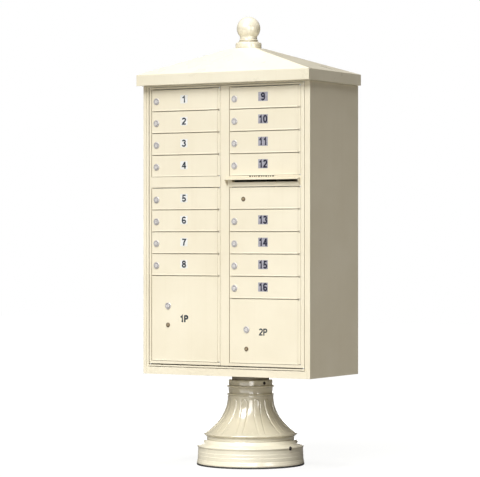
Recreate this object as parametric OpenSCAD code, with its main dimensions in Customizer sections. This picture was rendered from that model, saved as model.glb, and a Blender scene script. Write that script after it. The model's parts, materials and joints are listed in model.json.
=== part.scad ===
// Cluster mailbox unit: a free-standing cabinet of sixteen tenant doors, two parcel lockers and an
// outgoing-mail compartment behind two full-height master doors, on a short decorated pedestal.
// X runs to the right, Y to the back, Z up. The front faces -Y and the origin is on the pedestal's
// axis at the ground. The model stands closed with every cam and rod in its unlocked place.

/* [Cabinet] */
// Width over the side sheets
cabinet_w = 774.7; // [772:0.1:790]
// Depth from the front face to the back sheet
cabinet_d = 410; // [380:1:460]
// Height of the cabinet without its cap
cabinet_h = 1172.7; // [1168:0.1:1200]
// Thickness of the wrapper and cap sheet
sheet = 2; // [1.5:0.1:3]

/* [Doors] */
// Height from one tenant door to the next
door_pitch = 88.9; // [86:0.1:89.5]
// Width of a door from its left edge to its hinge axis
door_w = 319; // [315:0.5:320]
// Thickness of a door panel
door_t = 3.2; // [2.5:0.1:3.2]
// Gap round a closed door
door_gap = 3.2; // [1.6:0.1:3.6]
// Height of the band between the upper and the lower doors
band_h = 44.4; // [42:0.1:50]
// Radius of the long tenant hinge rods
rod_r = 2; // [1.8:0.1:2]

/* [Locks] */
// Distance from a tenant door's left edge to its lock
lock_inset = 21.5; // [21:0.1:23]
// Distance of the tenant lock below the middle of its door
lock_drop = 3.5; // [0:0.1:8]
// Distance from a parcel door's left edge to its locks
parcel_lock_inset = 77; // [70:0.5:90]
// Distance from the outgoing door's left edge to its lock
arrow_inset = 62.8; // [60:0.1:70]
// How far a cam reaches from its lock's axis
cam_reach = 21; // [18:0.5:21]

/* [Cap] */
// How far the brim stands out at each side
brim_side = 13; // [8:1:30]
// How far the brim stands out at the front
brim_front = 33; // [20:1:50]
// Height of the brim
brim_h = 44.5; // [30:0.5:60]
// Height of the pyramid above the brim
pyramid_h = 106.5; // [60:0.5:140]
// Width of the flat top of the pyramid
pyramid_top_w = 106; // [100:1:130]
// Radius of the finial's ball
ball_r = 47.7; // [40:0.1:50]

/* [Pedestal] */
// Height from the ground to the lower edge of the cabinet
pedestal_h = 368.3; // [368.3:0.1:420]
// Outer radius of the post
post_r = 76; // [70:0.5:76]
// Wall thickness of the post
post_wall = 5; // [3:0.5:8]
// Width of the square base and top plates
plate_w = 254; // [240:1:270]
// Spacing of the anchor holes and of the cabinet bolts
bolt_spacing = 203.2; // [190:0.1:210]
// Radius of an anchor hole
anchor_hole_r = 8; // [6:0.5:9]
// Wall thickness of the decorative cover
cover_wall = 4; // [3:0.5:5]

/* [Master latch] */
// Radius of a latch rod
latch_rod_r = 4; // [3.5:0.1:4]
// Radius at which the crank pins sit on the handle's disc
crank_r = 8.5; // [8:0.1:8.5]

/* [Hidden] */
$fn = 64;
cream = [0.95, 0.92, 0.82];
steel = [0.72, 0.73, 0.75];
brass = [0.62, 0.5, 0.32];

half_w = cabinet_w / 2;
front = -cabinet_d / 2;
back = cabinet_d / 2;
floor_z = pedestal_h;
top_z = floor_z + cabinet_h;
fit = 0.05;
seam = 0.2;

// Master doors and the frame round them
frame_inner = half_w - 24.75;
frame_recess = sheet + seam;
frame_depth = 45;
flange_w = 14;
floor_lip_h = 29.4;
pan_z = floor_z + 19.7;
pan_top = pan_z + 3;
top_rail_h = 6;
bottom_rail_low = floor_z + floor_lip_h + 2.5;
bottom_rail_top = floor_z + 38;
master_low = bottom_rail_top + 4.7;
master_high = top_z - top_rail_h - 2;
master_depth = 20;
master_pin_r = 3;
barrel_r = 6;
barrel_x = frame_inner - 7.6;
barrel_y = front + barrel_r;
strip_left = -19;
strip_right = 19.6;
left_master_edge = strip_left - 1.5;
wall = 3;

// Rows and columns of doors
top_row_z = top_z - 16.5;
parcel_low = floor_z + 53.7;
column_x = [left_master_edge - 6.1 - door_w, strip_right + 2.8];
rows_above_band = 4;
parcel_slot = [8, 9];
hinge_y = front + 3.1;
knuckle_r = 3.1;
stile_w = 34;
stop_y = front + door_t + 0.6;
stop_t = 3;
stop_reach = 8.6;
rail_y = front + 8;

// Locks: radius of the face ring, of the threaded barrel and of the plug
tenant_lock_size = [12, 9.4, 7];
small_lock_size = [8.5, 7, 5];
lock_face = 3;
cam_y = front + 7.5;
cam_t = 2.5;
keeper_h = 16;
parcel_lock_drop = 123;
control_lock_drop = 200;

// Outgoing-mail slot and hood
slot_x = [33, 331];
slot_h = 9;
hood_x = [9, 343];
hood_out = 20;
hood_t = 2;

// Master latch
latch_x = 2;
latch_turn = 90;
latch_y = front + master_depth + 1;
disc_t = 4;
disc_r = 16;
stud_r = 4;
rod_y = latch_y + 8.5;
rod_x = 7.5;
rod_rest_gap = 1;
crank_rise = crank_r * sin(latch_turn / 2);
rail_hole = latch_rod_r + 1.6;

// Cap
brim_x = half_w + brim_side;
brim_y = [front - brim_front, back];
cap_y = (brim_y[0] + brim_y[1]) / 2;
brim_top = top_z + brim_h;
roof_top = brim_top + pyramid_h;
finial_stud_r = 5;

// Pedestal
top_plate_t = 9.5;
base_plate_t = 12.7;
top_plate_low = pan_z - top_plate_t;
cabinet_bolt_r = 6.35;
gasket_t = 6.5;

function slot_top(k) = top_row_z - k * door_pitch - (k >= rows_above_band ? band_h : 0);
function slot_low(k) = top_row_z - (k + 1) * door_pitch - (k >= rows_above_band ? band_h : 0);
latch_z = slot_low(rows_above_band) + door_pitch / 2;

// Tenant doors 1 to 8 fill the left column, and 9 to 16 the right one round the outgoing door.
function door_column(n) = n <= 8 ? 0 : 1;
function door_slot(n) = n <= 8 ? n - 1 : (n <= 12 ? n - 9 : n - 8);
function two_digits(n) = str(n < 10 ? "0" : "", n);
function hinge_x(column) = column_x[column] + door_w;
function slot_middle(k) = (slot_top(k) + slot_low(k)) / 2;

// A box between two ranges along each axis
module block(x, y, z) {
    translate([x[0], y[0], z[0]]) cube([x[1] - x[0], y[1] - y[0], z[1] - z[0]]);
}

module both_sides() {
    children();
    mirror([1, 0, 0]) children();
}

// An upright cylinder, and one that lies along Y
module upright(x, y, z, r) {
    translate([x, y, z[0]]) cylinder(h = z[1] - z[0], r = r);
}

module along_y(x, y, z, r, sides = 48) {
    translate([x, y[1], z]) rotate([90, 0, 0]) cylinder(h = y[1] - y[0], r = r, $fn = sides);
}

// ---------- cabinet ----------

module cabinet_wrapper() {
    color(cream) {
        both_sides() {
            block([half_w - sheet, half_w], [front, back], [floor_z, top_z]);
            block([half_w - flange_w, half_w], [front, front + sheet], [floor_z, top_z]);
        }
        block([-half_w, half_w], [back - sheet, back], [floor_z, top_z]);
    }
}

module cabinet_floor() {
    inner = half_w - sheet - seam;
    lip_x = half_w - flange_w - seam;
    color(cream) {
        difference() {
            block([-inner, inner], [front + frame_recess, back - frame_recess], [pan_z, pan_top]);
            for (x = [-1, 1], y = [-1, 1])
                upright(x * bolt_spacing / 2, y * bolt_spacing / 2, [pan_z - 1, pan_top + 1],
                        cabinet_bolt_r + 0.65);
        }
        block([-lip_x, lip_x], [front, front + sheet], [floor_z, floor_z + floor_lip_h]);
    }
}

module front_frame() {
    outer = half_w - sheet - seam;
    face = front + frame_recess;
    rail_x = frame_inner - seam;
    color(cream) {
        both_sides() block([frame_inner, outer], [face, front + 27], [pan_top + seam, top_z]);
        difference() {
            union() {
                block([-rail_x, rail_x], [face, front + frame_depth], [top_z - top_rail_h, top_z]);
                block([-rail_x, rail_x], [front, front + frame_depth], [bottom_rail_low, bottom_rail_top]);
            }
            both_sides() upright(barrel_x, barrel_y, [floor_z, top_z + 1], master_pin_r + fit);
            rod_keeper(latch_x + rod_x, [top_z - top_rail_h - 1, top_z + 1]);
            rod_keeper(latch_x - rod_x, [bottom_rail_low - 1, bottom_rail_top + 1]);
        }
    }
}

// A square hole that takes the end of a latch rod
module rod_keeper(x, z) {
    block([x - rail_hole, x + rail_hole], [rod_y - rail_hole, rod_y + rail_hole], z);
}

// The centre partition, the ceiling and one shelf under each row, all loose sheets
module compartment_shelves() {
    thick = sheet / 2;
    outer = half_w - sheet - seam;
    depth = [front + frame_depth + 0.5, back - frame_recess];
    ceiling = top_z - 4;
    color(steel) {
        block([-thick, thick], depth, [pan_top + seam, ceiling - seam]);
        block([-outer, outer], depth, [ceiling, ceiling + sheet]);
        for (z = [for (k = [0:3]) slot_low(k), for (k = [4:7]) slot_low(k), slot_top(4)])
            block([-outer, -thick - seam], depth, [z - thick, z + thick]);
        for (z = [for (k = [0:3]) slot_low(k), for (k = [4:8]) slot_low(k)])
            block([thick + seam, outer], depth, [z - thick, z + thick]);
    }
}

// ---------- cap ----------

// A thin level plate, used as the end of a pyramid
module level_plate(x, y, z) {
    block([-x, x], y, [z - 0.1, z]);
}

module cap_roof() {
    lap = 12;
    skin = 2.5;
    half_top = pyramid_top_w / 2;
    top_y = [cap_y - half_top, cap_y + half_top];
    inner_x = brim_x - skin;
    inner_y = [brim_y[0] + skin, brim_y[1] - skin];
    side_skin = 9;
    slope_skin = 5;
    color(cream) difference() {
        union() {
            block([-brim_x, brim_x], brim_y, [top_z, brim_top]);
            hull() {
                level_plate(brim_x, brim_y, brim_top);
                level_plate(half_top, top_y, roof_top);
            }
        }
        hull() {
            level_plate(brim_x - side_skin, [brim_y[0] + slope_skin, brim_y[1] - slope_skin], brim_top);
            level_plate(half_top - 2, [top_y[0] + 1, top_y[1] - 1], roof_top - wall);
        }
        block([-inner_x, inner_x], inner_y, [top_z + skin, brim_top - skin]);
        block([-brim_x + side_skin, brim_x - side_skin],
              [brim_y[0] + slope_skin, brim_y[1] - slope_skin], [brim_top - 5, brim_top - 0.05]);
        block([-half_w + lap, half_w - lap], [front + lap, back - lap], [top_z - 1, top_z + skin + 1]);
        upright(0, cap_y, [roof_top - 10, roof_top + 1], finial_stud_r + 0.3);
    }
}

module finial() {
    ring_h = 24;
    ring_r = 52.8;
    groove_r = 37;
    collar_r = 39;
    neck_r = 34.7;
    ball_z = 82.2;
    color(cream) translate([0, cap_y, roof_top]) {
        rotate_extrude($fn = 96) polygon([
            [0, 0], [ring_r - 1.5, 0], [ring_r, 1.5], [ring_r, ring_h - 6], [ring_r - 2, ring_h - 2],
            [ring_r - 6, ring_h], [42, ring_h + 0.6], [42, ring_h + 4.6], [groove_r, ring_h + 5.4],
            [groove_r, ring_h + 7], [collar_r, ring_h + 8], [collar_r, ring_h + 11],
            [neck_r, ring_h + 13], [neck_r, ring_h + 26], [neck_r - 1, ball_z], [0, ball_z]
        ]);
        translate([0, 0, ball_z]) sphere(r = ball_r, $fn = 96);
        translate([0, 0, -20]) cylinder(h = 21, r = finial_stud_r);
    }
}

// ---------- pedestal ----------

module plate_with_holes(z, hole_r) {
    half = plate_w / 2;
    difference() {
        block([-half, half], [-half, half], z);
        upright(0, 0, [z[0] - 1, z[1] + 1], post_r - post_wall);
        for (x = [-1, 1], y = [-1, 1])
            upright(x * bolt_spacing / 2, y * bolt_spacing / 2, [z[0] - 1, z[1] + 1], hole_r);
    }
}

module pedestal_post() {
    tube = [base_plate_t + seam, top_plate_low - seam];
    color(cream) {
        plate_with_holes([0, base_plate_t], anchor_hole_r);
        plate_with_holes([top_plate_low, pan_z], cabinet_bolt_r + 0.65);
        difference() {
            upright(0, 0, tube, post_r);
            upright(0, 0, [tube[0] - 1, tube[1] + 1], post_r - post_wall);
        }
    }
}

// The bell flares from its neck to its rim by a power of the way down.
bell_rim_r = 190;
bell_neck_r = 93.4;
bell_low = 129;
bell_high = 275;
function bell_r(t) = bell_neck_r + (bell_rim_r - bell_neck_r) * pow(t, 2.2);
function bell_outline(steps, inset) = [
    for (i = [0:steps]) [bell_r(1 - i / steps) - inset, bell_low + (bell_high - bell_low) * i / steps]
];

module pedestal_cover() {
    rim_low = 118;
    ring_r = 90;
    inner_r = ring_r - cover_wall;
    post_gap_r = post_r + 0.4;
    steps = 14;
    outside = concat(
        [[bell_rim_r, rim_low]], bell_outline(steps, 0),
        [[95.4, 281], [95.4, 285], [ring_r, 288], [ring_r, 315], [96, 317], [96, 320]],
        [[ring_r, 323], [ring_r, 345], [ring_r - 5, 350], [post_gap_r + 2, 354], [post_gap_r, 354]]
    );
    inside = concat(
        [[bell_rim_r - 2 * cover_wall, rim_low]], bell_outline(steps, 2 * cover_wall),
        [[inner_r, 290], [inner_r, 342], [post_gap_r, 347]]
    );
    reversed = [for (i = [len(inside) - 1:-1:0]) inside[i]];
    color(cream) rotate_extrude($fn = 96) polygon(concat(outside, reversed));
}

module cover_base_ring() {
    foot_r = 218.6;
    drum_r = 214.5;
    lip_r = 217.8;
    groove_r = 178;
    color(cream) rotate_extrude($fn = 96) polygon([
        [foot_r, gasket_t], [foot_r, 13.5], [drum_r, 28.5], [drum_r, 69], [lip_r, 74], [lip_r, 81],
        [lip_r - 4, 86], [groove_r + 6, 98], [groove_r, 106], [groove_r, 117.8],
        [groove_r - cover_wall, 117.8], [groove_r - cover_wall, 104], [lip_r - 8, 80],
        [drum_r - cover_wall, 70], [drum_r - cover_wall, gasket_t]
    ]);
}

module base_gasket() {
    color([0.1, 0.1, 0.1]) difference() {
        upright(0, 0, [0, gasket_t - seam], 219.5);
        upright(0, 0, [-1, gasket_t + 1], 206);
    }
}

// A hexagon head or nut that points up or down
module hexagon(x, y, z, r) {
    translate([x, y, z[0]]) cylinder(h = z[1] - z[0], r = r, $fn = 6);
}

module fasteners() {
    nut_low = pan_top + seam;
    color(steel) {
        for (x = [-1, 1], y = [-1, 1]) translate([x * bolt_spacing / 2, y * bolt_spacing / 2, 0]) {
            upright(0, 0, [top_plate_low - 1, pan_top + 9], cabinet_bolt_r);
            hexagon(0, 0, [top_plate_low - 8, top_plate_low - seam], 11);
            difference() {
                hexagon(0, 0, [nut_low, nut_low + 7], 11);
                upright(0, 0, [nut_low - 1, nut_low + 8], cabinet_bolt_r + fit);
            }
        }
        difference() {
            hexagon(0, cap_y, [roof_top - wall - 9, roof_top - wall - seam], 9.5);
            upright(0, cap_y, [roof_top - 20, roof_top], finial_stud_r + fit);
        }
    }
}

// ---------- master doors ----------

module master_hinge_rods() {
    color(steel) both_sides() upright(barrel_x, barrel_y, [bottom_rail_low, top_z - seam], master_pin_r);
}

// A master door is made of loose sheets, bars and lugs, each a seam away from the next.
// The wide rails of a master, between the ranges of heights that its doors close
edge = door_gap / 2;
band_rail = [slot_top(rows_above_band) + edge, slot_low(rows_above_band - 1) + seam];
wide_rails = [[master_low, parcel_low + seam], band_rail, [top_row_z + edge, master_high]];
face_y = [front, front + 6.8];
behind_y = [front + 7, front + master_depth];

// Everything between a master's stiles: x is that range, and stop_x that of the doors' stop
module master_rails(x, column, stop_x) {
    hinge = hinge_x(column);
    inner_x = [x[0], hinge - stile_w - seam];
    for (z = wide_rails) {
        block(x, face_y, z);
        block(inner_x, behind_y, z);
    }
    // Narrow rails behind the gaps between doors, with the lugs that hold the hinge rod
    for (k = [0:parcel_slot[column] - 1]) if (k != rows_above_band - 1) {
        block(inner_x, [rail_y, behind_y[1]], [slot_low(k) - 3, slot_low(k) + 3]);
        lug_z = [slot_low(k) - 2.5, slot_low(k) + 2.5];
        upright(hinge, hinge_y, lug_z, knuckle_r);
        block([hinge - knuckle_r, hinge + knuckle_r], [hinge_y, face_y[1]], lug_z);
    }
    // Recessed stile behind the hinge side, the filler beside the knuckles, and the stop
    block([hinge - stile_w, x[1]], behind_y, [master_low, master_high]);
    for (i = [0, 1]) {
        z = [wide_rails[i][1] + seam, wide_rails[i + 1][0] - seam];
        block([hinge + knuckle_r + seam, x[1]], [front + 2, face_y[1]], z);
        block(stop_x, [stop_y, stop_y + stop_t], z);
    }
}

// A keeper tab behind which a lock's cam turns
module keeper(from_x, lock_x, lock_z) {
    block([from_x, lock_x - 15], [stop_y, stop_y + stop_t], [lock_z - keeper_h / 2, lock_z + keeper_h / 2]);
}

// The stile that carries a master's hinge barrel: x is the range of its web
module hinge_stile(barrel, x) {
    height = [master_low, master_high];
    short = 1;
    upright(barrel, barrel_y, height, barrel_r);
    block([min(barrel + short, x[0]), max(barrel - short, x[1])], [front, front + sheet], height);
    block(x, [front, front + master_depth], height);
}

module master_bores(column, x) {
    upright(x, barrel_y, [master_low - 1, master_high + 1], master_pin_r + fit);
    upright(hinge_x(column), hinge_y, [parcel_low - 8, top_row_z + 6.5], rod_r + fit);
}

module master_door_left() {
    web = [column_x[0] - 5.2, column_x[0] - 3.2];
    stop_x = [web[1] + seam, column_x[0] + stop_reach - 3];
    parcel_x = column_x[0] + parcel_lock_inset;
    parcel_top = slot_top(parcel_slot[0]);
    color(cream) difference() {
        union() {
            hinge_stile(-barrel_x, web);
            master_rails([web[1] + seam, left_master_edge], 0, stop_x);
            keeper(stop_x[1] + seam, parcel_x, parcel_top - parcel_lock_drop);
            keeper(stop_x[1] + seam, parcel_x, parcel_top - control_lock_drop);
        }
        master_bores(0, -barrel_x);
    }
}

module master_door_right() {
    height = [master_low, master_high];
    web = [hinge_x(1) + 6.6, hinge_x(1) + 8.6];
    stop_x = [strip_right + seam, column_x[1] + stop_reach];
    parcel_x = column_x[1] + parcel_lock_inset;
    parcel_top = slot_top(parcel_slot[1]);
    slot_low_z = slot_top(rows_above_band) + 19.5;
    upper_guides = [top_row_z - 25, latch_z + 70];
    lower_guides = [latch_z - 380, parcel_low + 20];
    side_y = [front + wall + seam, front + master_depth];
    guide_x = [strip_left + wall + seam, strip_right - wall - seam];
    color(cream) difference() {
        union() {
            hinge_stile(barrel_x, web);
            // Centre strip: a channel that is open at the back
            block([strip_left, strip_right], [front, front + wall], height);
            block([strip_left, strip_left + wall], side_y, height);
            block([strip_right - wall, strip_right], side_y, height);
            master_rails([strip_right + seam, web[0] - seam], 1, stop_x);
            keeper(stop_x[1] + seam, column_x[1] + arrow_inset, latch_z - lock_drop);
            keeper(stop_x[1] + seam, parcel_x, parcel_top - parcel_lock_drop);
            keeper(stop_x[1] + seam, parcel_x, parcel_top - control_lock_drop);
            // Pivot stud of the latch handle on its cross plate, and the guides of the latch rods
            block(guide_x, [side_y[1] - wall, side_y[1]], [latch_z - 24, latch_z + 24]);
            along_y(latch_x, [side_y[1] - wall, latch_y + disc_t + 1], latch_z, stud_r);
            for (z = concat(upper_guides, lower_guides))
                block(guide_x, [side_y[1] - wall, rod_y + 6], [z - 6, z + 6]);
        }
        master_bores(1, barrel_x);
        block(slot_x, [front - 1, front + master_depth + 1], [slot_low_z, slot_low_z + slot_h]);
        for (z = upper_guides) upright(latch_x + rod_x, rod_y, [z - 7, z + 7], latch_rod_r + fit);
        for (z = lower_guides) upright(latch_x - rod_x, rod_y, [z - 7, z + 7], latch_rod_r + fit);
    }
}

module door_hinge_rod(column) {
    color(steel) upright(hinge_x(column), hinge_y, [parcel_low - 7.5, top_row_z + 6], rod_r);
}

// A shelf over the outgoing-mail slot, with a turned-down lip, an upright flange and two cheeks
module outgoing_slot_hood() {
    y = front - seam;
    out_y = y - hood_out;
    flange_z = band_rail[1] - 7;
    shelf_z = flange_z - 3.4;
    edge_z = shelf_z - 1.2;
    lip_z = slot_top(rows_above_band) + 28.8;
    cheek_z = band_rail[0] + 2.4;
    in_y = y - hood_t;
    sheet_outline = [
        [y, flange_z], [in_y, flange_z], [in_y, shelf_z], [out_y, edge_z], [out_y, lip_z],
        [out_y + hood_t, lip_z], [out_y + hood_t, edge_z - hood_t],
        [in_y, shelf_z - hood_t], [y, shelf_z - hood_t]
    ];
    cheek_outline = [[y, shelf_z], [in_y, shelf_z], [out_y, edge_z], [out_y, lip_z], [y, cheek_z]];
    color(cream) {
        translate([hood_x[0], 0, 0]) rotate([90, 0, 90])
            linear_extrude(hood_x[1] - hood_x[0]) polygon(sheet_outline);
        for (x = [hood_x[0], hood_x[1] - hood_t])
            translate([x, 0, 0]) rotate([90, 0, 90]) linear_extrude(hood_t) polygon(cheek_outline);
    }
}

// ---------- doors ----------

// The fixed part of a lock, held in its door by a nut behind the panel
module lock_body(x, z, size) {
    color(steel) difference() {
        union() {
            along_y(x, [front - lock_face, front - seam], z, size[0]);
            along_y(x, [front - seam, cam_y - 0.6], z, size[1]);
            along_y(x, [front + door_t + seam, front + door_t + 3], z, size[0] + 0.5, 6);
        }
        along_y(x, [front - lock_face - 1, cam_y + 1], z, size[2] + fit);
    }
}

// A turning plug with its keyway and cam, which points up while it is unlocked
module lock_plug(x, z, size) {
    tip_r = size[2] - 1;
    keyway_half = size[2] * 0.55;
    difference() {
        union() {
            along_y(x, [front - lock_face - 0.3, cam_y + cam_t], z, size[2]);
            along_y(x, [cam_y, cam_y + cam_t], z + cam_reach - tip_r, tip_r);
            block([x - tip_r, x + tip_r], [cam_y, cam_y + cam_t], [z, z + cam_reach - tip_r]);
        }
        block([x - 0.9, x + 0.9], [front - lock_face - 1, front - 0.5], [z - keyway_half, z + keyway_half]);
    }
}

// A door leaf with a rolled lip along its top and bottom and a knuckle round the hinge rod
module door_leaf(column, z, locks) {
    x = [column_x[column], hinge_x(column)];
    lip_x = [x[0] + 14, x[1] - stile_w - 4];
    lip_y = [front + door_t - 0.5, front + 7.3];
    knuckle_z = [z[0] + 2.2, z[1] - 2.2];
    color(cream) difference() {
        union() {
            block([x[0], x[1] - 5], [front, front + door_t], z);
            block([x[1] - 5.5, x[1]], [front, hinge_y], knuckle_z);
            upright(x[1], hinge_y, knuckle_z, knuckle_r);
            block(lip_x, lip_y, [z[1] - 2.4, z[1]]);
            block(lip_x, lip_y, [z[0], z[0] + 2.4]);
        }
        upright(x[1], hinge_y, [z[0] - 1, z[1] + 1], rod_r + fit);
        // A fold line beside the knuckle
        block([x[1] - 8.6, x[1] - 7], [front - 1, front + 1.4], [z[0] - 1, z[1] + 1]);
        for (lock = locks) along_y(lock[0], [front - 1, front + 9], lock[1], lock[2][1] + seam);
    }
    for (lock = locks) lock_body(lock[0], lock[1], lock[2]);
}

function door_span(low, high) = [low + door_gap / 2, high - door_gap / 2];
function tenant_lock_x(n) = column_x[door_column(n)] + lock_inset;
function tenant_lock_z(n) = slot_middle(door_slot(n)) - lock_drop;

module tenant_door(n) {
    k = door_slot(n);
    lock = [tenant_lock_x(n), tenant_lock_z(n), tenant_lock_size];
    door_leaf(door_column(n), door_span(slot_low(k), slot_top(k)), [lock]);
}

module tenant_lock(n) {
    color(steel) lock_plug(tenant_lock_x(n), tenant_lock_z(n), tenant_lock_size);
}

module outgoing_mail_door() {
    k = rows_above_band;
    lock = [column_x[1] + arrow_inset, latch_z - lock_drop, small_lock_size];
    door_leaf(1, door_span(slot_low(k), slot_top(k)), [lock]);
}

module arrow_lock() {
    color(brass) lock_plug(column_x[1] + arrow_inset, latch_z - lock_drop, small_lock_size);
}

function parcel_lock_z(p, drop) = slot_top(parcel_slot[p - 1]) - drop;

module parcel_door(p) {
    x = column_x[p - 1] + parcel_lock_inset;
    tenant = [x, parcel_lock_z(p, parcel_lock_drop), tenant_lock_size];
    control = [x, parcel_lock_z(p, control_lock_drop), small_lock_size];
    door_leaf(p - 1, door_span(parcel_low, slot_top(parcel_slot[p - 1])), [tenant, control]);
}

module parcel_lock(p) {
    color(steel) lock_plug(column_x[p - 1] + parcel_lock_inset,
                           parcel_lock_z(p, parcel_lock_drop), tenant_lock_size);
}

module control_lock(p) {
    color(brass) lock_plug(column_x[p - 1] + parcel_lock_inset,
                           parcel_lock_z(p, control_lock_drop), small_lock_size);
}

// ---------- master latch ----------

// A bar of the handle's outline that points at an angle from the pivot, and a place on that bar
module handle_bar(angle, length) {
    bar_w = 11;
    rotate(angle) translate([0, -bar_w / 2]) square([length, bar_w]);
}

function on_disc(angle, r) = [latch_x + r * cos(angle), latch_z + r * sin(angle)];

// The crank pins sit opposite each other, so one rod rises while the other goes down.
module latch_handle() {
    lever = 46;
    finger = 40;
    rest = -latch_turn / 2;
    grip = on_disc(rest, lever);
    plate_back = latch_y + disc_t;
    color(steel) union() {
        translate([latch_x, plate_back, latch_z]) rotate([90, 0, 0]) linear_extrude(disc_t) difference() {
            union() {
                circle(r = disc_r);
                handle_bar(rest, lever);
                handle_bar(90, finger);
                rotate(rest) translate([lever, 0]) circle(r = 8, $fn = 32);
            }
            circle(r = stud_r + fit);
        }
        along_y(grip[0], [latch_y - 10, latch_y + 1], grip[1], 6.5);
        for (angle = [rest, rest + 180]) {
            pin = on_disc(angle, crank_r);
            along_y(pin[0], [plate_back - 1, plate_back + 7], pin[1], 2);
        }
    }
}

// A rod with a slotted plate for its crank pin: way is 1 for the upper rod and -1 for the lower
module latch_rod(way, far_z) {
    plate_z = latch_z - way * crank_rise;
    slot_half = 2.4;
    plate_y = [rod_y - 1.5, rod_y + 1.5];
    inner = latch_x + way * 2.2;
    outer = latch_x + way * 13;
    start = plate_z + way * 6;
    color(steel) difference() {
        union() {
            block([min(inner, outer), max(inner, outer)], plate_y, [plate_z - 7, plate_z + 7]);
            upright(latch_x + way * rod_x, rod_y, [min(start, far_z), max(start, far_z)], latch_rod_r);
        }
        block([latch_x + min(way * 3.3, way * 11.5), latch_x + max(way * 3.3, way * 11.5)],
              [rod_y - 6, rod_y + 6], [plate_z - slot_half, plate_z + slot_half]);
    }
}

module latch_rod_upper() {
    latch_rod(1, top_z - top_rail_h - rod_rest_gap - 2);
}

module latch_rod_lower() {
    latch_rod(-1, bottom_rail_top + rod_rest_gap + 2);
}

cabinet_wrapper();
cabinet_floor();
front_frame();
compartment_shelves();
cap_roof();
finial();
pedestal_post();
pedestal_cover();
cover_base_ring();
base_gasket();
fasteners();
master_hinge_rods();
master_door_left();
master_door_right();
door_hinge_rod(0);  // door_hinge_rod_left
door_hinge_rod(1);  // door_hinge_rod_right
outgoing_slot_hood();
latch_handle();
latch_rod_upper();
latch_rod_lower();
outgoing_mail_door();
arrow_lock();
for (p = [1, 2]) {
    parcel_door(p);
    parcel_lock(p);
    control_lock(p);
}
for (n = [1:16]) {
    tenant_door(n);
    tenant_lock(n);
}
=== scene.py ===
"""Looks of the cluster mailbox unit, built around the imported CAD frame."""
import json
import math

import bmesh
import bpy
from mathutils import Matrix, Vector


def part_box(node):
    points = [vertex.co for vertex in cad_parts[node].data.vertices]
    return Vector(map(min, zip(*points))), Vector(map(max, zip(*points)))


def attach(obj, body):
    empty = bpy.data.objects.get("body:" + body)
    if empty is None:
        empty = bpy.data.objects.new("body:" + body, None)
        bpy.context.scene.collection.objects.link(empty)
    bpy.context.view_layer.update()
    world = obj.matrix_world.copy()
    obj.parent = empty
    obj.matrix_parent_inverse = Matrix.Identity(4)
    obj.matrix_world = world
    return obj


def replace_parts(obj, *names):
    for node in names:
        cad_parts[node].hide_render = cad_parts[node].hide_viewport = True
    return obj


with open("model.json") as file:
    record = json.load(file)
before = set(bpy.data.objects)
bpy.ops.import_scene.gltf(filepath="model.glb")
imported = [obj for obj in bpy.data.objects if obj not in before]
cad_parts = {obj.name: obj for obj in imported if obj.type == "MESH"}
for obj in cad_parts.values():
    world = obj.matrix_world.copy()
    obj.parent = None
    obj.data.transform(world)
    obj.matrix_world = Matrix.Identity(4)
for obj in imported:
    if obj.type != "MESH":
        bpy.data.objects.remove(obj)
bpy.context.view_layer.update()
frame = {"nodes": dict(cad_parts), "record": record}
NODES = frame["nodes"]
MM = 0.001
# The plane in Y that the doors' faces share
DOOR_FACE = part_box("cabinet_wrapper")[0].y
# Points of a CAD mesh that are closer than this are one point
WELD_GAP = 0.02 * MM


# ---------------------------------------------------------------- materials

NOISE_ROUGHNESS = 0.55
CREVICE_SAMPLES = 8


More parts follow.
